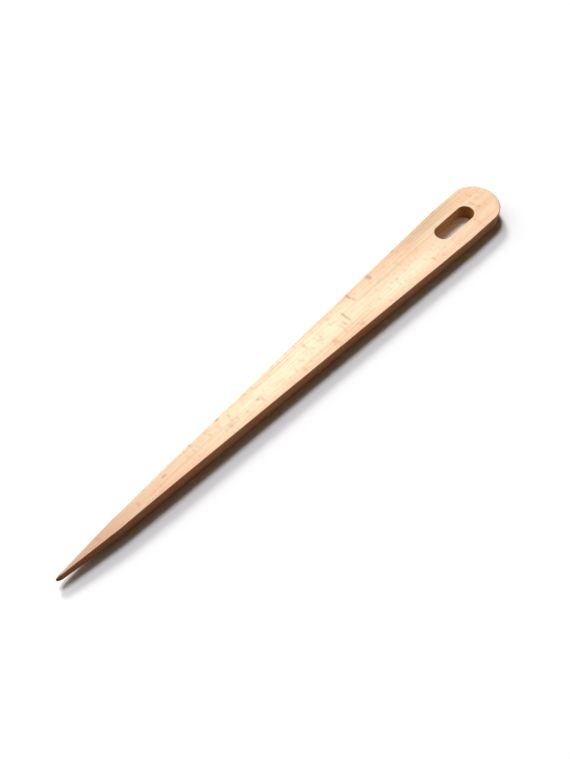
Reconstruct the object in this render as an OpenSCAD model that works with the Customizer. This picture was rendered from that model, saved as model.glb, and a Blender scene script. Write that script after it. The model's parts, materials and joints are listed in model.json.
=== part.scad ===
// A flat weaving needle, cut from one strip of hardwood. Its sides taper over most of its length
// from a round head with an eye for the yarn to a slim point. Towards the point the top face falls
// and the underside rises, so the tip rides clear of the threads and of the table.
// X runs along the needle with the head towards +X, Y runs across it, and Z is up through the
// thickness. The origin is in the plane of the underside, halfway along and across the needle.
// All lengths are in mm.

/* [Strip] */
// Length from the tip to the end of the head
needle_l = 256; // [230:1:320]
// Thickness of the strip
strip_t = 7.2; // [6.4:0.1:9]

/* [Head] */
// Width across the head, whose end is a half circle of this diameter
head_w = 22.8; // [18:0.2:26]
// Length of the parallel sides that run into the round end
head_straight_l = 17.6; // [10:0.2:26]

/* [Eye] */
// Length of the eye over its round ends
eye_l = 23.6; // [16:0.2:28]
// Width of the eye
eye_w = 7.8; // [5:0.1:10]
// Wood left between the eye and the end of the head
eye_margin = 14.4; // [8:0.2:20]

/* [Point] */
// Length of the fine point, where the sides close in faster
point_l = 29; // [20:1:40]
// Width of the needle where the fine point begins
point_w = 5.3; // [4:0.1:7]
// Radius of the tip, seen from above
tip_r = 0.3; // [0.2:0.05:0.6]
// How far shaping by hand left the tip off the middle, towards +Y
tip_shift = 0.35; // [-0.6:0.05:0.6]
// Height of the tip above the plane of the underside
tip_z = 3.75; // [3:0.05:4]
// Length of the nose, over which both faces close in to the tip
nose_l = 3.3; // [2:0.1:6]

/* [Thinning] */
// How far the top face falls by the tip, before the nose takes more
top_fall = 2.2; // [1:0.1:2.5]
// Length over which the top face falls
top_run = 62; // [45:1:80]
// How far the underside rises by the tip, before the nose takes more
under_rise = 1.5; // [0.8:0.1:2.2]
// Length over which the underside rises
under_run = 64; // [45:1:80]

/* [Hidden] */

// Colour of the wood: pale and slightly pink
wood = "#eccfae";

// Number of sides that stand for a circle: the head, the eye and the tip
round_fn = 96;
// Number of steps along the curved part of the top face, and of the underside
curve_steps = 24;
// The two faces would meet this far past the tip, which is a small, upright, rounded edge
nose_over = 0.4;
// How far a shape that cuts or crosses another runs past it
over = 1;

// Places along the needle
tip_x = -needle_l / 2;
end_x = needle_l / 2;
point_x = tip_x + point_l;
head_r = head_w / 2;
head_x = end_x - head_r;
straight_x = head_x - head_straight_l;

// Centres of the eye's two round ends
eye_r = eye_w / 2;
eye_far_x = end_x - eye_margin - eye_r;
eye_near_x = eye_far_x - (eye_l - eye_w);

// Distances from the tip, from where the faces would meet to the end of a run. The steps are
// short at the nose and grow along the run.
function steps_of(run) =
    [for (i = [0 : curve_steps]) (run + nose_over) * pow(i / curve_steps, 2) - nose_over];

// The same list backwards, without its first item, because both faces share that point
function back_along(list) = [for (i = [len(list) - 1 : -1 : 1]) list[i]];

// How far a face has moved at a distance from the tip. It leaves the flat smoothly at the end of
// its run, on an arc of a circle that reaches the drop at the tip.
function moved(distance, run, drop) =
    let (arc_r = (run * run + drop * drop) / (2 * drop))
    arc_r - sqrt(arc_r * arc_r - (run - distance) * (run - distance));

// Height of a face once the nose draws it in towards the tip, the more the nearer to it
function drawn_in(distance, height) =
    let (ahead = max(1 - (distance + nose_over) / nose_l, 0))
    tip_z + (height - tip_z) * (1 - ahead * ahead);

// Heights of the two faces at a distance from the tip
function top_z(distance) = drawn_in(distance, strip_t - moved(distance, top_run, top_fall));
function under_z(distance) = drawn_in(distance, moved(distance, under_run, under_rise));

// Outline seen from above
module top_view() {
    polygon([
        [tip_x + tip_r, tip_shift - tip_r],
        [point_x, -point_w / 2],
        [straight_x, -head_r],
        [head_x, -head_r],
        [head_x, head_r],
        [straight_x, head_r],
        [point_x, point_w / 2],
        [tip_x + tip_r, tip_shift + tip_r]
    ]);
    translate([tip_x + tip_r, tip_shift])
        circle(r = tip_r, $fn = round_fn);
    translate([head_x, 0])
        circle(r = head_r, $fn = round_fn);
}

// Outline seen from the side, as length and height. It runs on a little past both ends.
module side_view() {
    polygon(concat(
        [for (d = steps_of(top_run)) [tip_x + d, top_z(d)]],
        [[end_x + over, strip_t], [end_x + over, 0]],
        [for (d = back_along(steps_of(under_run))) [tip_x + d, under_z(d)]]
    ));
}

// The strip of wood, sawn to both views
module blank() {
    intersection() {
        rotate([90, 0, 0])
            linear_extrude(height = head_w + 2 * over, center = true)
                side_view();
        translate([0, 0, -over])
            linear_extrude(height = strip_t + 2 * over)
                top_view();
    }
}

// The eye, cut straight through the head
module eye() {
    for (x = [eye_near_x, eye_far_x])
        translate([x, 0, -over])
            cylinder(r = eye_r, h = strip_t + 2 * over, $fn = round_fn);
    translate([eye_near_x, -eye_r, -over])
        cube([eye_far_x - eye_near_x, eye_w, strip_t + 2 * over]);
}

// The whole needle, which is one piece of wood
module needle() {
    color(wood)
        difference() {
            blank();
            eye();
        }
}

needle();
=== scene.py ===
"""A flat weaving needle of sanded beech, lying on a white table in soft studio light.

The needle is one piece of wood, so one mesh stands for it. All lengths are in metres, in the
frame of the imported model: +X along the needle towards the head and its eye, +Y across it and +Z
up through its thickness, with the underside in the plane of the table. The wood's own pattern is
laid out in millimetres in the same axes.
"""

import json
import logging
import math
from dataclasses import dataclass
from dataclasses import field
from enum import Enum
from typing import Any
from typing import NamedTuple

import bmesh
import bpy
from mathutils import Matrix
from mathutils import Vector
from mathutils import noise


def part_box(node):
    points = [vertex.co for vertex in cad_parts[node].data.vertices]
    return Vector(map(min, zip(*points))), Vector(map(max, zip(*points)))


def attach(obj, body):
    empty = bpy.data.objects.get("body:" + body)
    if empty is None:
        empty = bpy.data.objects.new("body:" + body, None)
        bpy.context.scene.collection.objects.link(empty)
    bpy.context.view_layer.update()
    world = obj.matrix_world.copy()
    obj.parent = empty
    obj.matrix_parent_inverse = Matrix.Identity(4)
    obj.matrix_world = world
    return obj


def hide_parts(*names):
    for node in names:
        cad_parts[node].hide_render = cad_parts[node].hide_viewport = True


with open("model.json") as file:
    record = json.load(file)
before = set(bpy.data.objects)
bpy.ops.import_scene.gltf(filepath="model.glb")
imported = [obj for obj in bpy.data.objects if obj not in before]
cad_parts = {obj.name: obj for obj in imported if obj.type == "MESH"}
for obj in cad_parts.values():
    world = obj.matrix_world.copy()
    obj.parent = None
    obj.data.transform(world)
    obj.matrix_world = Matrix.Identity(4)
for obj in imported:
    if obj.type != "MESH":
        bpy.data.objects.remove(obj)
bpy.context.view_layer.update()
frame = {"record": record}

log = logging.getLogger("needle")

MM = 0.001
QUARTER_TURN = math.pi / 2
UP = Vector((0, 0, 1))

# Numbers of the sockets that Blender's Mix node uses for colours
MIX_FACTOR = 0
MIX_FROM = 6
MIX_TO = 7
MIX_RESULT = 2

# The sRGB curve: a straight foot with this slope, and past it a shifted power
SRGB_FOOT = 0.04045
SRGB_SLOPE = 12.92
SRGB_SHIFT = 0.055
SRGB_POWER = 2.4


class Face(Enum):
    """The two broad faces of the needle, with the direction in which each looks along Z."""

    TOP = 1
    UNDERSIDE = -1


class Edge(Enum):
    """The two long sides of the needle, with the direction in which each looks along Y."""

    FAR = 1
    NEAR = -1


class Pattern(Enum):
    """The patterns of the wood. Each tone in it follows one of them."""

    # Traces of making and use, and the painted shade of the eye,
    # kept as attributes of the mesh under these names
    WORN = "worn"
    PAINTED_EYE_SHADE = "painted_eye_shade"
    END_GRAIN = "end_grain"
    # The place along the needle
    LENGTHWAYS = "lengthways"
    # Noise
    STREAKS = "streaks"
    PATCHES = "patches"
    FIBRES = "fibres"
    DRIFT = "drift"
    # The wood's own build
    RINGS = "rings"
    RAYS = "rays"
    # Marks listed one by one in the top face
    # Cream streaks, partly painted highlight
    CREAM_AND_HIGHLIGHT = "cream"
    # Painted shade over the far half of the head
    PAINTED_HEAD_SHADE = "tan"
    PINK = "pink"
    FLECKS = "flecks"


MESH_LAYERS = (Pattern.WORN, Pattern.PAINTED_EYE_SHADE, Pattern.END_GRAIN)


class Spot(NamedTuple):
    """One point of a mesh in the making, and how strongly each layer shows there, from 0 to 1.

    The layers hold the traces of making and use, and the painted shade of the eye.
    """

    place: Vector
    worn: float = 0.0
    painted_eye_shade: float = 0.0
    end_grain: float = 0.0


class Column(NamedTuple):
    """One column of the head: a point of the outline, with the way into the wood, and the eye's."""

    foot: Vector
    inward: Vector | None
    eye_foot: Vector
    eye_inward: Vector


class Grain(NamedTuple):
    """A noise: the size of its grains in millimetres, and how many finer layers it has."""

    pattern: Pattern
    along: float
    across: float
    up: float
    detail: float


class Tone(NamedTuple):
    """A colour laid over the tones below it, where its pattern passes from start to full.

    If a second pattern is given, the colour shows only within that.
    """

    colour: str
    pattern: Pattern
    start: float
    full: float
    share: float
    within: Pattern | None = None


class Mark(NamedTuple):
    """A soft patch of another tone in the top face. Places and half sizes are in millimetres."""

    x: float
    y: float
    along: float
    across: float
    strength: float
    depth: float = 3.0


def linear(colour: str) -> tuple[float, float, float, float]:
    """Turns an sRGB hex colour to linear.

    Args:
        colour: The colour, such as "#f0e0d0".

    Returns:
        Red, green, blue and an alpha of 1.
    """
    parts = [byte / 255 for byte in bytes.fromhex(colour[1:])]
    light = [
        p / SRGB_SLOPE if p <= SRGB_FOOT else ((p + SRGB_SHIFT) / (1 + SRGB_SHIFT)) ** SRGB_POWER
        for p in parts
    ]
    return light[0], light[1], light[2], 1.0


def add_node(
    tree: bpy.types.NodeTree,
    kind: str,
    settings: dict[str, Any] | None = None,
    inputs: dict[str | int, Any] | None = None,
) -> bpy.types.Node:
    """Adds a node with its settings and links.

    Args:
        tree: The node tree that takes the node.
        kind: Blender's name for the type of node, without "ShaderNode".
        settings: Values of the node's own properties.
        inputs: Values of its inputs, or the outputs that are linked to them.

    Returns:
        The new node.
    """
    node = tree.nodes.new("ShaderNode" + kind)
    for name, value in (settings or {}).items():
        setattr(node, name, value)
    for key, value in (inputs or {}).items():
        if isinstance(value, bpy.types.NodeSocket):
            tree.links.new(value, node.inputs[key])
        else:
            node.inputs[key].default_value = value
    return node


def arc_height(radius: float, distance: float) -> float:
    """Gives the height of a circle's arc at a distance in from its end, up to its middle."""
    left = max(radius - distance, 0)
    return math.sqrt(radius * radius - left * left)


def between(low: float, high: float, share: float) -> float:
    """Gives the value at a share of the way from low to high."""
    return low + (high - low) * share


def spread(length: float, hold: float, steps: int) -> list[float]:
    """Spreads points over a length, with one close to each end to hold the edge there.

    Args:
        length: The length to divide.
        hold: Distance of the holding points from the ends.
        steps: Number of even steps between the holding points.

    Returns:
        Distances from the start, from 0 to the whole length.
    """
    hold = min(hold, length / (steps + 2))
    middle = [between(hold, length - hold, i / steps) for i in range(steps + 1)]
    return [0.0, *middle, length]


@dataclass
class Skin:
    """A mesh in the making. Its patches meet along shared rows of points and are welded there."""

    mesh: bmesh.types.BMesh = field(default_factory=bmesh.new)
    weld: float = 0.0001 * MM

    def __post_init__(self) -> None:
        """Adds a layer for each of the traces of making and use, and one for the painted shade of
        the eye.
        """
        for mesh_layer in MESH_LAYERS:
            self.mesh.verts.layers.float.new(mesh_layer.value)

    def add_spot(self, spot: Spot) -> bmesh.types.BMVert:
        """Adds one point and notes its traces.

        Args:
            spot: The point.

        Returns:
            The mesh's new point.
        """
        made = self.mesh.verts.new(spot.place)
        for mesh_layer in MESH_LAYERS:
            made[self.mesh.verts.layers.float[mesh_layer.value]] = getattr(spot, mesh_layer.value)
        return made

    def add_patch(self, rows: list[list[Spot]], closed: bool) -> None:
        """Adds a patch of quads.

        Args:
            rows: Rows of points, all with the same number of them.
            closed: Whether each row runs round and meets its own start.
        """
        made = [[self.add_spot(spot) for spot in row] for row in rows]
        for low, high in zip(made, made[1:]):
            pairs = list(zip(low, high))
            if closed:
                pairs.append(pairs[0])
            for (a, b), (c, d) in zip(pairs, pairs[1:]):
                self.mesh.faces.new((a, b, d, c))

    def add_cap(self, pole: Spot, ring: list[Spot]) -> None:
        """Closes the start of a tube with triangles.

        Args:
            pole: The point at which they meet.
            ring: The ring of points round it.
        """
        middle = self.add_spot(pole)
        made = [self.add_spot(spot) for spot in ring]
        for a, b in zip(made, made[1:] + made[:1]):
            self.mesh.faces.new((middle, a, b))

    def join(self) -> None:
        """Welds the patches and turns all faces outwards."""
        bmesh.ops.remove_doubles(self.mesh, verts=self.mesh.verts[:], dist=self.weld)
        bmesh.ops.recalc_face_normals(self.mesh, faces=self.mesh.faces[:])
        self.mesh.normal_update()

    def finish(self, name: str) -> bpy.types.Object:
        """Makes the object.

        Args:
            name: The object's name.

        Returns:
            The object, linked to the scene.
        """
        open_edges = sum(not edge.is_manifold for edge in self.mesh.edges)
        log.info("%s: %d faces, %d open edges", name, len(self.mesh.faces), open_edges)
        for face in self.mesh.faces:
            face.smooth = True
        data = bpy.data.meshes.new(name)
        self.mesh.to_mesh(data)
        self.mesh.free()
        piece = bpy.data.objects.new(name, data)
        bpy.context.scene.collection.objects.link(piece)
        return piece


# The tones of this board as it lies: broad streaks, and then small flecks
# Some of these are light, not the wood's tone: the cream is partly painted highlight, and the
# head's patches are painted shade
MARKS = {
    # Cream streaks, brightened into painted highlight over the middle of the needle, and painted
    # highlight along the far rim near the point
    Pattern.CREAM_AND_HIGHLIGHT: (
        Mark(0.0, 1.5, 98.0, 12.5, 1.0, 12.0),
        Mark(62.0, -3.6, 58.0, 8.0, 0.8, 12.0),
        Mark(-92.0, 3.0, 30.0, 2.4, 1.0, 6.0),
    ),
    # Painted shade over the far half of the head and the shaft before it, and faintly at the end of
    # the head
    Pattern.PAINTED_HEAD_SHADE: (
        Mark(91.0, 10.5, 40.0, 10.0, 0.85, 12.0),
        Mark(120.0, 2.5, 11.0, 7.0, 0.15, 6.0),
    ),
    Pattern.PINK: (
        Mark(-35.0, -6.6, 62.0, 3.4, 0.6, 6.0),
        Mark(-72.0, -3.0, 34.0, 2.8, 0.8, 6.0),
        Mark(60.0, -11.0, 62.0, 3.2, 0.6, 6.0),
        Mark(-18.0, 7.4, 22.0, 2.0, 0.7, 4.0),
        Mark(60.0, 10.4, 26.0, 3.0, 0.3, 6.0),
        Mark(17.3, -4.8, 3.4, 3.4, 0.9),
        Mark(-40.0, -1.6, 4.0, 2.4, 0.7),
        Mark(111.0, -7.0, 8.0, 5.0, 0.5),
    ),
    # Rays that lie flat in the face: flecks, mostly across the grain
    Pattern.FLECKS: (
        Mark(-107.7, 0.4, 2.0, 2.4, 0.8),
        Mark(-88.3, -0.2, 1.8, 2.3, 0.6),
        Mark(-83.0, 2.7, 1.9, 0.9, 0.5),
        Mark(-73.6, 1.3, 2.6, 1.1, 0.85),
        Mark(-61.2, 3.6, 1.4, 2.0, 0.5),
        Mark(-57.9, 4.0, 1.4, 2.2, 0.8),
        Mark(-42.5, 4.6, 2.2, 1.6, 1.0),
        Mark(-40.7, -1.3, 2.2, 2.2, 0.45),
        Mark(-38.1, 2.3, 0.9, 1.6, 0.7),
        Mark(-36.6, -2.4, 1.2, 1.4, 0.3),
        Mark(-26.7, 5.0, 1.5, 2.2, 0.5),
        Mark(-24.8, -0.8, 1.5, 1.2, 0.8),
        Mark(-23.2, -2.6, 1.9, 2.2, 0.5),
        Mark(-9.2, 6.0, 1.9, 1.2, 0.55),
        Mark(-1.2, -4.8, 4.1, 1.5, 0.5),
        Mark(5.3, 7.4, 1.2, 1.1, 0.9),
        Mark(6.9, 3.2, 1.2, 3.8, 0.6),
        Mark(17.1, -4.2, 2.2, 2.7, 0.45),
        Mark(24.7, -2.0, 1.1, 4.6, 0.55),
        Mark(26.8, -1.2, 1.1, 5.3, 0.6),
        Mark(29.7, 1.0, 1.1, 5.4, 0.95),
        Mark(31.8, -6.4, 2.7, 1.2, 0.7),
        Mark(38.3, 7.4, 1.4, 3.9, 1.0),
        Mark(39.0, 4.2, 1.2, 2.7, 0.55),
        Mark(52.1, 7.6, 2.0, 3.5, 1.0),
        Mark(58.5, -4.7, 1.1, 1.6, 0.45),
        Mark(66.6, 2.6, 1.2, 2.2, 0.4),
        Mark(70.1, 9.7, 1.6, 1.6, 0.9),
        Mark(79.2, -6.2, 1.1, 2.0, 0.8),
        Mark(100.0, 10.9, 1.6, 1.1, 0.9),
        Mark(109.5, -6.4, 1.4, 5.7, 0.55),
        Mark(111.4, -5.4, 1.1, 3.0, 0.3),
        Mark(116.0, 0.9, 1.2, 3.8, 0.65),
        Mark(117.0, -1.7, 1.1, 2.2, 0.7),
        Mark(119.3, 4.6, 1.6, 1.6, 0.6),
        Mark(120.2, 1.8, 1.2, 2.4, 0.45),
        Mark(123.6, 3.4, 1.2, 2.2, 0.4),
        Mark(114.3, 4.9, 1.9, 1.2, 0.4),
    ),
}


@dataclass(frozen=True)
class SandedBeech:
    """Beech, quarter sawn, shaped and sanded by hand, with no oil or varnish.

    To the eye it is peach and cream in broad streaks, with faint lines of late wood along it and
    pinkish flecks of the rays across it. It is matt, a little warmer along its worn edges, browner
    towards the point, darkened with painted shade on the walls of the eye, and greyer where the cut
    ends of the fibres show, round the end of the head. Painted highlight brightens the cream over
    the middle and along the far rim near the point, and painted shade darkens the far half of the
    head.
    Lengths are in millimetres.
    """

    base: str = "#fbd4b1"
    tones: tuple[Tone, ...] = (
        # Cream, partly painted highlight
        Tone("#fff5d2", Pattern.CREAM_AND_HIGHLIGHT, 0.0, 1.0, 1.0),
        # Painted shade over the far half of the head
        Tone("#e2c3a0", Pattern.PAINTED_HEAD_SHADE, 0.0, 1.0, 1.0),
        Tone("#f6c5a2", Pattern.PINK, 0.0, 1.0, 0.75),
        Tone("#f0be98", Pattern.STREAKS, 0.5, 0.72, 0.35),
        Tone("#fff0cf", Pattern.STREAKS, 0.48, 0.28, 0.4),
        Tone("#f3c6a2", Pattern.PATCHES, 0.5, 0.7, 0.3),
        Tone("#d6ad91", Pattern.LENGTHWAYS, -62.0, -122.0, 0.95),
        Tone("#d6a27a", Pattern.RINGS, 0.0, 1.0, 0.22, Pattern.STREAKS),
        # Growth rings drawn darker within the painted shade of the head
        Tone("#c89a78", Pattern.RINGS, 0.0, 1.0, 0.22, Pattern.PAINTED_HEAD_SHADE),
        Tone("#cf9c78", Pattern.FIBRES, 0.52, 0.8, 0.3),
        Tone("#d9a080", Pattern.RAYS, 0.0, 1.0, 0.35, Pattern.PATCHES),
        Tone("#cf9474", Pattern.FLECKS, 0.0, 1.0, 0.62),
        Tone("#e9b48c", Pattern.WORN, 0.55, 1.0, 0.22),
        Tone("#8a6f58", Pattern.END_GRAIN, 0.0, 1.0, 0.75),
        # Painted shade on the walls of the eye, deepest on the wall at its far end
        Tone("#926117", Pattern.PAINTED_EYE_SHADE, 0.0, 1.0, 0.85),
        Tone("#5a3a2e", Pattern.LENGTHWAYS, -124.6, -127.8, 0.85),
    )
    grains: tuple[Grain, ...] = (
        Grain(Pattern.STREAKS, 70.0, 2.2, 5.0, 2.0),
        Grain(Pattern.PATCHES, 7.0, 3.0, 3.0, 2.0),
        # Fibres, drawn a little coarser than real ones so that they show
        Grain(Pattern.FIBRES, 8.0, 0.45, 0.45, 3.0),
        Grain(Pattern.DRIFT, 60.0, 5.0, 12.0, 1.0),
    )
    # How much each finer layer of a noise adds
    fineness: float = 0.55
    # Growth rings of slow, even beech, and how far the drift of the grain moves them
    ring_width: float = 1.6
    ring_drift: float = 6.0
    # How far the rings cross the needle for each millimetre along it, and up through it
    ring_lean: float = -0.012
    ring_tilt: float = 0.22
    # Shares of a ring at which late wood begins to darken it, is darkest, and begins to end
    late_start: float = 0.2
    late_full: float = 0.75
    late_end: float = 0.82
    # Rays are thin upright sheets: their height along the grain, depth across it, and spacing
    ray_sizes: tuple[float, float, float] = (2.6, 3.4, 0.9)
    # Distances from a ray's middle, in those sizes, at which it is full and at which it ends
    ray_full: float = 0.12
    ray_end: float = 0.45
    # Size of the ripples in the rims of the marks, and how far they reach along and across
    ripple_size: float = 1.8
    ripple: tuple[float, float, float] = (1.0, 0.9, 0.0)
    # Share of the way in from its rim at which a mark is full
    mark_full: float = 1.0
    # A rough, unvarnished surface scatters nearly all light
    roughness: float = 0.62
    open_fibres: float = 0.1
    polish: float = 0.12
    specular: float = 0.12
    # Height of the raised fibres, and the part of it that late wood stands proud
    relief: float = 0.014
    proud_rings: float = 0.25

    def material(self) -> bpy.types.Material:
        """Makes the material.

        Returns:
            The finished material.
        """
        made = bpy.data.materials.new("sanded_beech")
        made.use_nodes = True
        tree = made.node_tree
        tree.nodes.clear()
        object_place = add_node(tree, "TexCoord").outputs["Object"]
        scaled = {0: object_place, "Scale": 1 / MM}
        place = add_node(tree, "VectorMath", {"operation": "SCALE"}, scaled).outputs[0]
        patterns = self.patterns(tree, place)
        surface = add_node(tree, "BsdfPrincipled", None, {
            "Base Color": self.colours(tree, patterns),
            "Roughness": self.roughnesses(tree, patterns),
            "Normal": self.reliefs(tree, patterns),
            "Specular IOR Level": self.specular,
        })
        add_node(tree, "OutputMaterial", None, {"Surface": surface.outputs[0]})
        return made

    def patterns(
        self, tree: bpy.types.NodeTree, place: bpy.types.NodeSocket
    ) -> dict[Pattern, bpy.types.NodeSocket]:
        """Adds all patterns of the wood.

        Args:
            tree: The material's node tree.
            place: The place in the wood, in millimetres.

        Returns:
            Each pattern's value at that place.
        """
        found = {Pattern.LENGTHWAYS: add_node(tree, "SeparateXYZ", None, {0: place}).outputs["X"]}
        for mesh_layer in MESH_LAYERS:
            named = {"attribute_name": mesh_layer.value}
            found[mesh_layer] = add_node(tree, "Attribute", named).outputs["Fac"]
        for grain in self.grains:
            sizes = (grain.along, grain.across, grain.up)
            spot = add_node(tree, "VectorMath", {"operation": "DIVIDE"}, {0: place, 1: sizes})
            found[grain.pattern] = add_node(tree, "TexNoise", None, {
                "Vector": spot.outputs[0],
                "Scale": 1.0,
                "Detail": grain.detail,
                "Roughness": self.fineness,
            }).outputs["Fac"]
        found[Pattern.RINGS] = self.rings(tree, place, found[Pattern.DRIFT])
        found[Pattern.RAYS] = self.rays(tree, place)
        rippled = self.rippled(tree, place)
        for pattern, marks in MARKS.items():
            found[pattern] = self.placed(tree, rippled, marks)
        return found

    def rings(
        self,
        tree: bpy.types.NodeTree,
        place: bpy.types.NodeSocket,
        drift: bpy.types.NodeSocket,
    ) -> bpy.types.NodeSocket:
        """Adds the growth rings, which darken slowly towards the late wood and end sharply.

        Args:
            tree: The material's node tree.
            place: The place in the wood, in millimetres.
            drift: The slow noise that bends the rings and changes their width.

        Returns:
            How dark each ring is, from 0 to 1.
        """
        way = (self.ring_lean, 1.0, self.ring_tilt)
        flat = add_node(tree, "VectorMath", {"operation": "DOT_PRODUCT"}, {0: place, 1: way})
        inputs = {0: drift, 1: self.ring_drift, 2: flat.outputs["Value"]}
        bent = add_node(tree, "Math", {"operation": "MULTIPLY_ADD"}, inputs).outputs[0]
        inputs = {0: bent, 1: self.ring_width}
        count = add_node(tree, "Math", {"operation": "DIVIDE"}, inputs).outputs[0]
        share = add_node(tree, "Math", {"operation": "FRACT"}, {0: count}).outputs[0]
        slopes = [
            add_node(tree, "MapRange", {"interpolation_type": "SMOOTHSTEP"}, {
                "Value": share,
                "From Min": start,
                "From Max": end,
            }).outputs[0]
            for start, end in ((self.late_start, self.late_full), (1.0, self.late_end))
        ]
        inputs = {0: slopes[0], 1: slopes[1]}
        return add_node(tree, "Math", {"operation": "MULTIPLY"}, inputs).outputs[0]

    def rays(
        self, tree: bpy.types.NodeTree, place: bpy.types.NodeSocket
    ) -> bpy.types.NodeSocket:
        """Adds the small rays: faint flecks on the broad faces, short ticks on the sides.

        Args:
            tree: The material's node tree.
            place: The place in the wood, in millimetres.

        Returns:
            How strongly a ray shows, from 0 to 1.
        """
        inputs = {0: place, 1: self.ray_sizes}
        spot = add_node(tree, "VectorMath", {"operation": "DIVIDE"}, inputs).outputs[0]
        middle = add_node(tree, "TexVoronoi", None, {"Vector": spot, "Scale": 1.0})
        return add_node(tree, "MapRange", {"interpolation_type": "SMOOTHSTEP"}, {
            "Value": middle.outputs["Distance"],
            "From Min": self.ray_end,
            "From Max": self.ray_full,
        }).outputs[0]

    def rippled(
        self, tree: bpy.types.NodeTree, place: bpy.types.NodeSocket
    ) -> bpy.types.NodeSocket:
        """Shifts places a little to and fro, so that marks have uneven rims.

        Args:
            tree: The material's node tree.
            place: The place in the wood, in millimetres.

        Returns:
            The shifted place.
        """
        inputs = {"Vector": place, "Scale": 1 / self.ripple_size}
        waves = add_node(tree, "TexNoise", None, inputs).outputs["Color"]
        middle = tuple(reach / 2 for reach in self.ripple)
        inputs = {0: waves, 1: self.ripple, 2: place}
        ahead = add_node(tree, "VectorMath", {"operation": "MULTIPLY_ADD"}, inputs).outputs[0]
        inputs = {0: ahead, 1: middle}
        return add_node(tree, "VectorMath", {"operation": "SUBTRACT"}, inputs).outputs[0]

    def placed(
        self,
        tree: bpy.types.NodeTree,
        place: bpy.types.NodeSocket,
        marks: tuple[Mark, ...],
    ) -> bpy.types.NodeSocket:
        """Adds marks that lie in the top face.

        Args:
            tree: The material's node tree.
            place: The place in the wood, in millimetres.
            marks: The marks.

        Returns:
            How strongly the marks show, from 0 to 1.
        """
        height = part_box("needle")[1].z / MM
        total: bpy.types.NodeSocket | float = 0.0
        for mark in marks:
            local = add_node(tree, "Mapping", {"vector_type": "TEXTURE"}, {
                "Vector": place,
                "Location": (mark.x, mark.y, height),
                "Scale": (mark.along, mark.across, mark.depth),
            })
            inputs = {"Vector": local.outputs[0]}
            ball = add_node(tree, "TexGradient", {"gradient_type": "SPHERICAL"}, inputs)
            soft = add_node(tree, "MapRange", {"interpolation_type": "SMOOTHSTEP"}, {
                "Value": ball.outputs["Fac"],
                "From Max": self.mark_full,
                "To Max": mark.strength,
            }).outputs[0]
            inputs = {0: soft, 1: total}
            total = add_node(tree, "Math", {"operation": "MAXIMUM"}, inputs).outputs[0]
        return total

    def colours(
        self, tree: bpy.types.NodeTree, patterns: dict[Pattern, bpy.types.NodeSocket]
    ) -> bpy.types.NodeSocket:
        """Lays the tones of the wood over each other, from the broadest to the finest.

        Args:
            tree: The material's node tree.
            patterns: The patterns of the wood.

        Returns:
            The colour.
        """
        colour: bpy.types.NodeSocket | tuple[float, ...] = linear(self.base)
        for tone in self.tones:
            amount = add_node(tree, "MapRange", {"interpolation_type": "SMOOTHSTEP"}, {
                "Value": patterns[tone.pattern],
                "From Min": tone.start,
                "From Max": tone.full,
                "To Max": tone.share,
            }).outputs[0]
            if tone.within is not None:
                inputs = {0: amount, 1: patterns[tone.within]}
                amount = add_node(tree, "Math", {"operation": "MULTIPLY"}, inputs).outputs[0]
            colour = add_node(tree, "Mix", {"data_type": "RGBA"}, {
                MIX_FACTOR: amount,
                MIX_FROM: colour,
                MIX_TO: linear(tone.colour),
            }).outputs[MIX_RESULT]
        return colour

    def roughnesses(
        self, tree: bpy.types.NodeTree, patterns: dict[Pattern, bpy.types.NodeSocket]
    ) -> bpy.types.NodeSocket:
        """Makes the surface rougher along open fibres and smoother where it is worn.

        Args:
            tree: The material's node tree.
            patterns: The patterns of the wood.

        Returns:
            The roughness.
        """
        inputs = {0: patterns[Pattern.FIBRES], 1: self.open_fibres, 2: self.roughness}
        rough = add_node(tree, "Math", {"operation": "MULTIPLY_ADD"}, inputs).outputs[0]
        inputs = {0: patterns[Pattern.WORN], 1: -self.polish, 2: rough}
        return add_node(tree, "Math", {"operation": "MULTIPLY_ADD"}, inputs).outputs[0]

    def reliefs(
        self, tree: bpy.types.NodeTree, patterns: dict[Pattern, bpy.types.NodeSocket]
    ) -> bpy.types.NodeSocket:
        """Raises the fibres and, a little, the late wood, which sanding wears less.

        Args:
            tree: The material's node tree.
            patterns: The patterns of the wood.

        Returns:
            The direction in which the surface looks.
        """
        inputs = {0: patterns[Pattern.RINGS], 1: self.proud_rings, 2: patterns[Pattern.FIBRES]}
        height = add_node(tree, "Math", {"operation": "MULTIPLY_ADD"}, inputs).outputs[0]
        inputs = {"Height": height, "Distance": self.relief * MM}
        return add_node(tree, "Bump", None, inputs).outputs[0]


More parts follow.
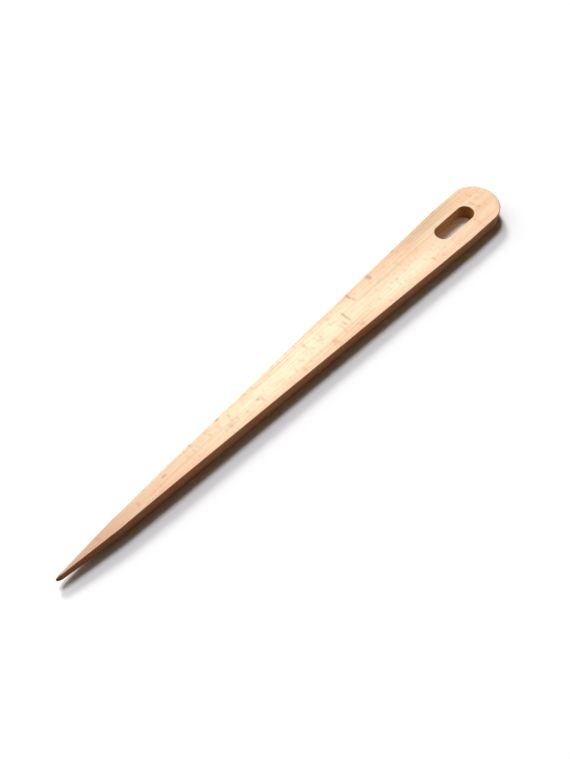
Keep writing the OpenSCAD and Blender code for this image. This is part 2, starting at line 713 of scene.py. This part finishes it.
@dataclass
class Needle:
    """The needle: a tapered strip with a round head, an eye and a slim point.

    Its length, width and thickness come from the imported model's box, and the eye from its mount.
    """

    low: Vector
    high: Vector
    eye_x: float
    eye_length: float
    eye_radius: float
    head_straight: float = 17.6 * MM
    point_length: float = 29 * MM
    point_width: float = 5.3 * MM
    # The tip: its radius seen from above, and how far shaping by hand left it off the middle
    tip_radius: float = 0.3 * MM
    tip_shift: float = 0.35 * MM
    # How far the top face falls and the underside rises towards the tip, and over which lengths
    top_fall: float = 2.2 * MM
    top_run: float = 62 * MM
    under_rise: float = 1.5 * MM
    under_run: float = 64 * MM
    # Height of the tip, and the length of the nose, over which both faces close in to it. They
    # would meet this far past the tip.
    tip_height: float = 3.75 * MM
    nose_length: float = 3.3 * MM
    nose_overrun: float = 0.4 * MM
    # Sanding rounds every sharp edge by about this much, a little more here and less there, and
    # never by more than this share of half the width or thickness
    easing: float = 0.17 * MM
    easing_change: float = 0.4
    easing_wave: float = 14 * MM
    easing_most: float = 0.6
    # The edges of walls that look to the far side are rounded more
    far_easing: float = 0.42 * MM
    # So is the rim of the end of the head, which is sanded across the grain
    end_easing: float = 0.8 * MM
    # The walls of the eye are painted with shade, fully at its far end
    # and by this share on the other walls.
    side_eye_shade: float = 0.5
    # Hand sanding leaves the faces very slightly uneven
    unevenness: float = 0.04 * MM
    unevenness_size: float = 12 * MM
    # Distance from each edge to the row of points that holds the flat face flat
    hold: float = 0.3 * MM
    # Where the shaft's rings end and the head's columns begin, before the straight sides
    head_start: float = 20 * MM
    easing_steps: int = 4
    wall_steps: int = 5
    face_steps: int = 14
    nose_steps: int = 9
    shaft_steps: int = 140
    # Rings crowd together towards the tip by this power
    crowding: float = 1.35
    taper_columns: int = 16
    parallel_columns: int = 14
    round_columns: int = 48
    head_rows: int = 6
    # Places and sizes that follow from those above
    thickness: float = field(init=False)
    head_radius: float = field(init=False)
    head_x: float = field(init=False)
    straight_x: float = field(init=False)
    cut_x: float = field(init=False)
    point_x: float = field(init=False)
    eye_near_x: float = field(init=False)
    eye_far_x: float = field(init=False)

    def __post_init__(self) -> None:
        """Works out the places along the needle."""
        self.thickness = self.high.z - self.low.z
        self.head_radius = (self.high.y - self.low.y) / 2
        self.head_x = self.high.x - self.head_radius
        self.straight_x = self.head_x - self.head_straight
        self.cut_x = self.straight_x - self.head_start
        self.point_x = self.low.x + self.point_length
        half_slot = self.eye_length / 2 - self.eye_radius
        self.eye_near_x = self.eye_x - half_slot
        self.eye_far_x = self.eye_x + half_slot

    def half_width(self, x: float) -> float:
        """Gives half of the width at a place along the needle, up to the round end.

        Args:
            x: The place.

        Returns:
            Half of the width there.
        """
        corners = (
            (self.low.x + self.tip_radius, self.tip_radius),
            (self.point_x, self.point_width / 2),
            (self.straight_x, self.head_radius),
        )
        if x < corners[0][0]:
            return arc_height(self.tip_radius, x - self.low.x)
        for (start, narrow), (end, wide) in zip(corners, corners[1:]):
            if x <= end:
                return between(narrow, wide, (x - start) / (end - start))
        return self.head_radius

    def centre_line(self, x: float) -> float:
        """Gives how far off the middle the needle runs at a place along it.

        Args:
            x: The place.

        Returns:
            The distance towards the far side, which falls to none where the point begins.
        """
        start = self.low.x + self.tip_radius
        share = (x - start) / (self.point_x - start)
        return self.tip_shift * (1 - min(max(share, 0), 1))

    def face_height(self, x: float, face: Face) -> float:
        """Gives the height of a broad face at a place along the needle.

        Args:
            x: The place.
            face: The top face or the underside.

        Returns:
            Its height, which follows a shallow arc towards the tip and then closes in to it.
        """
        if face is Face.TOP:
            flat, run, drop = self.high.z, self.top_run, self.top_fall
        else:
            flat, run, drop = self.low.z, self.under_run, self.under_rise
        distance = x - self.low.x
        left = max(run - distance, 0)
        radius = (run * run + drop * drop) / (2 * drop)
        height = flat - face.value * (radius - math.sqrt(radius * radius - left * left))
        ahead = max(1 - (distance + self.nose_overrun) / self.nose_length, 0)
        return between(self.tip_height, height, 1 - ahead * ahead)

    def easing_at(self, place: Vector, inward: Vector, face: Face) -> float:
        """Gives the radius of a sanded edge.

        Args:
            place: The place on the outline or on the eye.
            inward: The way into the wood.
            face: The face that the edge belongs to.

        Returns:
            The radius, which changes slowly along the edge and is greatest on walls that look to
            the far side and round the end of the head.
        """
        wave = noise.noise((place + face.value * UP * self.thickness) / self.easing_wave)
        far = between(self.easing, self.far_easing, max(-inward.y, 0))
        past = max(place.x - self.head_x, 0) / self.head_radius
        end = between(self.easing, self.end_easing, past)
        return max(far, end) * (1 + self.easing_change * wave)

    def rim(self, foot: Vector, inward: Vector, room: float, painted_eye_shade: float = 0.0) -> list[Spot]:
        """Makes one column down a wall, with a sanded edge at the top and at the bottom.

        Args:
            foot: The place of the wall, seen from above.
            inward: The way into the wood.
            room: How large the sanded edges may be here.
            painted_eye_shade: How much painted shade the wall takes, from 0 to 1.

        Returns:
            Points from the inner end of the top edge to that of the bottom edge.
        """
        ends = []
        end_grain = max(-inward.x, 0) ** 2
        for face in (Face.TOP, Face.UNDERSIDE):
            radius = min(self.easing_at(foot, inward, face), room)
            height = self.face_height(foot.x, face)
            arc = []
            for step in range(self.easing_steps + 1):
                turn = QUARTER_TURN * step / self.easing_steps
                place = foot + inward * radius * (1 - math.sin(turn))
                place.z = height - face.value * radius * (1 - math.cos(turn))
                steep = math.sin(turn)
                # Wear is greatest halfway round the edge
                worn = (1 + math.sin(2 * turn)) / 2
                # The painted shade of the eye's walls fades out over the rounded edge towards the
                # face
                arc.append(Spot(place, worn, painted_eye_shade * steep, end_grain * math.sqrt(steep)))
            ends.append(arc)
        top, bottom = ends
        wall = []
        depth = top[-1].place.z - bottom[-1].place.z
        for distance in spread(depth, self.hold, self.wall_steps)[1:-1]:
            place = foot.copy()
            place.z = top[-1].place.z - distance
            wall.append(Spot(place, 0.0, painted_eye_shade, end_grain))
        return [*top, *wall, *reversed(bottom)]

    def across(self, start: Spot, end: Spot, steps: int) -> list[Spot]:
        """Fills a broad face between two points of its border.

        Args:
            start: The first point.
            end: The last point.
            steps: Number of even steps between the holding points.

        Returns:
            The points between them, without the two given.
        """
        line = end.place - start.place
        return [
            Spot(start.place + line * (distance / line.length))
            for distance in spread(line.length, self.hold, steps)[1:-1]
        ]

    def side_rim(self, x: float, edge: Edge) -> list[Spot]:
        """Makes the column of a long side at a place along the needle.

        Args:
            x: The place.
            edge: The far side or the near one.

        Returns:
            Points from the inner end of the top edge to that of the bottom edge.
        """
        half = self.half_width(x)
        height = self.face_height(x, Face.TOP) - self.face_height(x, Face.UNDERSIDE)
        room = min(half, height / 2) * self.easing_most
        foot = Vector((x, self.centre_line(x) + edge.value * half, 0))
        return self.rim(foot, Vector((0, -edge.value, 0)), room)

    def ring(self, x: float) -> list[Spot]:
        """Makes a ring of points round the shaft.

        Args:
            x: The place along the needle.

        Returns:
            Points up the far side, over the top, down the near side and back along the underside.
        """
        far = self.side_rim(x, Edge.FAR)[::-1]
        near = self.side_rim(x, Edge.NEAR)
        over = self.across(far[-1], near[0], self.face_steps)
        under = self.across(near[-1], far[0], self.face_steps)
        return [*far, *over, *near, *under]

    def add_shaft(self, skin: Skin) -> None:
        """Adds the shaft, from the tip to where the head's columns begin.

        Args:
            skin: The mesh that takes it.
        """
        places = []
        for step in range(1, self.nose_steps + 1):
            turn = QUARTER_TURN * step / self.nose_steps
            places.append(self.low.x + self.tip_radius * (1 - math.cos(turn)))
        start = places[-1]
        for step in range(1, self.shaft_steps + 1):
            share = (step / self.shaft_steps) ** self.crowding
            places.append(between(start, self.cut_x, share))
        rings = [self.ring(x) for x in places]
        skin.add_patch(rings, closed=True)
        skin.add_cap(Spot(Vector((self.low.x, self.tip_shift, self.tip_height))), rings[0])

    def outline(self) -> list[tuple[Vector, Vector | None]]:
        """Lists the points of the head's outline, seen from above.

        Returns:
            Each point with its way into the wood: along the far side, round the end, back along
            the near side, and across the line where the shaft begins, which has no wall.
        """
        stretches = (
            (self.cut_x, self.straight_x, self.taper_columns),
            (self.straight_x, self.head_x, self.parallel_columns),
        )
        xs = [
            between(start, end, i / count)
            for start, end, count in stretches
            for i in range(count)
        ]
        far = [(Vector((x, self.half_width(x), 0)), Vector((0, -1, 0))) for x in xs]
        near = [(Vector((x, -self.half_width(x), 0)), Vector((0, 1, 0))) for x in reversed(xs)]
        end = []
        for i in range(self.round_columns + 1):
            turn = QUARTER_TURN - math.pi * i / self.round_columns
            way = Vector((math.cos(turn), math.sin(turn), 0))
            end.append((Vector((self.head_x, 0, 0)) + way * self.head_radius, -way))
        half = self.half_width(self.cut_x)
        cut = [
            (Vector((self.cut_x, distance - half, 0)), None)
            for distance in spread(2 * half, self.hold, self.face_steps)[1:-1]
        ]
        return [*far, *end, *near, *cut]

    def columns(self) -> list[Column]:
        """Pairs each point of the head's outline with the nearest one of the eye.

        Returns:
            One column for each point of the outline, in the outline's order.
        """
        made = []
        for foot, inward in self.outline():
            middle = Vector((min(max(foot.x, self.eye_near_x), self.eye_far_x), 0, 0))
            way = (foot - middle).normalized()
            made.append(Column(foot, inward, middle + way * self.eye_radius, way))
        return made

    def eye_shade_share(self, inward: Vector) -> float:
        """Gives how much painted shade a wall of the eye takes, which is most at the eye's far end.
        """
        return between(self.side_eye_shade, 1, max(inward.x, 0))

    def add_head(self, skin: Skin) -> None:
        """Adds the head: its wall, the eye's wall, and the broad faces between them.

        Args:
            skin: The mesh that takes it.
        """
        columns = self.columns()
        room = self.thickness / 2 * self.easing_most
        # The eye's walls take painted shade, deepest at the eye's far end
        eye = [self.rim(c.eye_foot, c.eye_inward, room, self.eye_shade_share(c.eye_inward)) for c in columns]
        walls = [self.rim(c.foot, c.inward, room) for c in columns if c.inward is not None]
        skin.add_patch(eye + eye[:1], closed=False)
        skin.add_patch(walls, closed=False)
        cut_steps = len(columns) - len(walls)
        # Each column begins at the border of the top face and ends at that of the underside
        for end in (0, -1):
            seam = self.across(walls[-1][end], walls[0][end], self.face_steps)
            border = [wall[end] for wall in walls] + seam[:cut_steps]
            rows = [
                [outer, *self.across(outer, inner[end], self.head_rows), inner[end]]
                for outer, inner in zip(border, eye)
            ]
            skin.add_patch(rows + rows[:1], closed=False)

    def soften(self, skin: Skin) -> None:
        """Moves the surface in by a hair here and there, as hand sanding does.

        Args:
            skin: The mesh to soften.
        """
        moves = []
        for vert in skin.mesh.verts:
            wave = noise.noise(vert.co / self.unevenness_size)
            moves.append(vert.normal * self.unevenness * (wave - 1) / 2)
        for vert, move in zip(skin.mesh.verts, moves):
            vert.co += move

    def build(self, finish: SandedBeech) -> bpy.types.Object:
        """Builds the needle and dresses it.

        Args:
            finish: The finish of the wood.

        Returns:
            The needle's object.
        """
        skin = Skin()
        self.add_shaft(skin)
        self.add_head(skin)
        skin.join()
        self.soften(skin)
        piece = skin.finish("weaving_needle")
        piece.data.materials.append(finish.material())
        piece.modifiers.new("even_faces", "WEIGHTED_NORMAL")
        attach(piece, "root")
        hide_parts("needle")
        return piece


@dataclass(frozen=True)
class WhiteTable:
    """A table painted matt white, which gives a clean ground with soft shadows.

    The lens sees it as white. To the needle it throws back a dimmer, warmer light, as the wood
    and the room round it do.
    """

    paint: str = "#ffffff"
    bounce: tuple[float, float, float, float] = (0.38, 0.2, 0.12, 1.0)
    size: float = 8.0

    def build(self) -> bpy.types.Object:
        """Builds the table top.

        Returns:
            The table's object, which isn't part of the needle.
        """
        material = bpy.data.materials.new("matt_white_paint")
        material.use_nodes = True
        tree = material.node_tree
        tree.nodes.clear()
        seen = seen_by_lens(tree)
        bounce = add_node(tree, "BsdfDiffuse", None, {"Color": self.bounce}).outputs[0]
        paint = add_node(tree, "BsdfDiffuse", None, {"Color": linear(self.paint)}).outputs[0]
        mixed = add_node(tree, "MixShader", None, {0: seen, 1: bounce, 2: paint}).outputs[0]
        add_node(tree, "OutputMaterial", None, {"Surface": mixed})
        half = self.size / 2
        corners = [(-half, -half, 0), (half, -half, 0), (half, half, 0), (-half, half, 0)]
        data = bpy.data.meshes.new("table_top")
        data.from_pydata(corners, [], [(0, 1, 2, 3)])
        data.materials.append(material)
        table = bpy.data.objects.new("table_top", data)
        bpy.context.scene.collection.objects.link(table)
        return table


def seen_by_lens(tree: bpy.types.NodeTree) -> bpy.types.NodeSocket:
    """Tells rays that show a thing as it is, straight or in a reflection, from scattered light.

    Args:
        tree: The node tree that asks.

    Returns:
        1 for a camera, glossy or transmission ray, and 0 for other rays.
    """
    path = add_node(tree, "LightPath")
    straight = path.outputs["Is Camera Ray"]
    for name in ("Is Glossy Ray", "Is Transmission Ray"):
        inputs = {0: straight, 1: path.outputs[name]}
        straight = add_node(tree, "Math", {"operation": "MAXIMUM"}, inputs).outputs[0]
    return straight


@dataclass(frozen=True)
class SoftLamp:
    """A wide studio lamp, far enough off to light the whole needle evenly.

    Angles are in degrees. The share is the part of the light on the table that comes from it,
    where 1 in all shows white as white.
    """

    name: str
    rise: float
    turn: float
    softness: float
    share: float
    colour: str
    distance: float = 2.0

    def build(self) -> bpy.types.Object:
        """Builds the lamp.

        Returns:
            The lamp's object.
        """
        rise = math.radians(self.rise)
        turn = math.radians(self.turn)
        lamp = bpy.data.lights.new(self.name, "SUN")
        lamp.angle = math.radians(self.softness)
        lamp.energy = math.pi * self.share / math.sin(rise)
        lamp.color = linear(self.colour)[:3]
        way = Vector((
            math.sin(turn) * math.cos(rise),
            math.cos(turn) * math.cos(rise),
            math.sin(rise),
        ))
        holder = bpy.data.objects.new(self.name, lamp)
        holder.location = way * self.distance
        holder.rotation_mode = "QUATERNION"
        holder.rotation_quaternion = way.to_track_quat("Z", "Y")
        bpy.context.scene.collection.objects.link(holder)
        return holder


@dataclass(frozen=True)
class Studio:
    """The room: white to the lens, with three soft lamps beyond the far side of the needle."""

    lamps: tuple[SoftLamp, ...] = (
        SoftLamp("key_lamp", rise=59, turn=24, softness=15, share=0.42, colour="#f6f7ff"),
        SoftLamp("low_lamp", rise=36, turn=24, softness=12, share=0.34, colour="#fffefa"),
        SoftLamp("wide_lamp", rise=36, turn=-26, softness=72, share=0.27, colour="#ffffff"),
    )
    white: str = "#ffffff"
    fill: tuple[float, float, float, float] = (0.038, 0.031, 0.014, 1.0)

    def build(self) -> None:
        """Builds the lamps, the table and the light of the room."""
        for lamp in self.lamps:
            lamp.build()
        WhiteTable().build()
        world = bpy.data.worlds.new("studio_room")
        world.use_nodes = True
        tree = world.node_tree
        tree.nodes.clear()
        seen = seen_by_lens(tree)
        fill = add_node(tree, "Background", None, {"Color": self.fill}).outputs[0]
        white = add_node(tree, "Background", None, {"Color": linear(self.white)}).outputs[0]
        mixed = add_node(tree, "MixShader", None, {0: seen, 1: fill, 2: white}).outputs[0]
        add_node(tree, "OutputWorld", None, {"Surface": mixed})
        bpy.context.scene.world = world
        bpy.context.scene.view_settings.view_transform = "Standard"


@dataclass(frozen=True)
class Viewpoint:
    """The camera: above the near side, looking down along the needle from its point."""

    place: tuple[float, float, float] = (-0.20341, -0.17242, 0.37736)
    aim: tuple[float, float, float] = (-0.00682, 0.00114, 0.0)
    roll: float = 1.21
    lens: float = 54.117
    film: float = 36.0

    def build(self) -> bpy.types.Object:
        """Builds the camera and makes it the scene's.

        Returns:
            The camera's object.
        """
        ahead = (Vector(self.aim) - Vector(self.place)).normalized()
        level = ahead.cross(UP).normalized()
        upright = level.cross(ahead)
        roll = math.radians(self.roll)
        right = level * math.cos(roll) + upright * math.sin(roll)
        up = upright * math.cos(roll) - level * math.sin(roll)
        data = bpy.data.cameras.new("camera")
        data.sensor_fit = "AUTO"
        data.sensor_width = self.film
        data.lens = self.lens
        camera = bpy.data.objects.new("camera", data)
        turned = Matrix((right, up, -ahead)).transposed().to_4x4()
        camera.matrix_world = Matrix.Translation(self.place) @ turned
        bpy.context.scene.collection.objects.link(camera)
        bpy.context.scene.camera = camera
        return camera


def main() -> None:
    """Builds the camera, the studio and the needle, and reports the needle."""
    logging.basicConfig(level=logging.INFO, format="%(name)s: %(message)s")
    Viewpoint().build()
    Studio().build()
    mounts = {mount["name"]: mount for mount in frame["record"]["mounts"]}
    eye = mounts["yarn_eye"]
    low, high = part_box("needle")
    needle = Needle(
        low=low,
        high=high,
        eye_x=eye["pos_m"][0],
        eye_length=eye["dims"]["slot_length_mm"] * MM,
        eye_radius=eye["dims"]["hole_r_mm"] * MM,
    )
    piece = needle.build(SandedBeech())
    log.info("%s rides on the root body", piece.name)


if __name__ == "__main__":
    main()
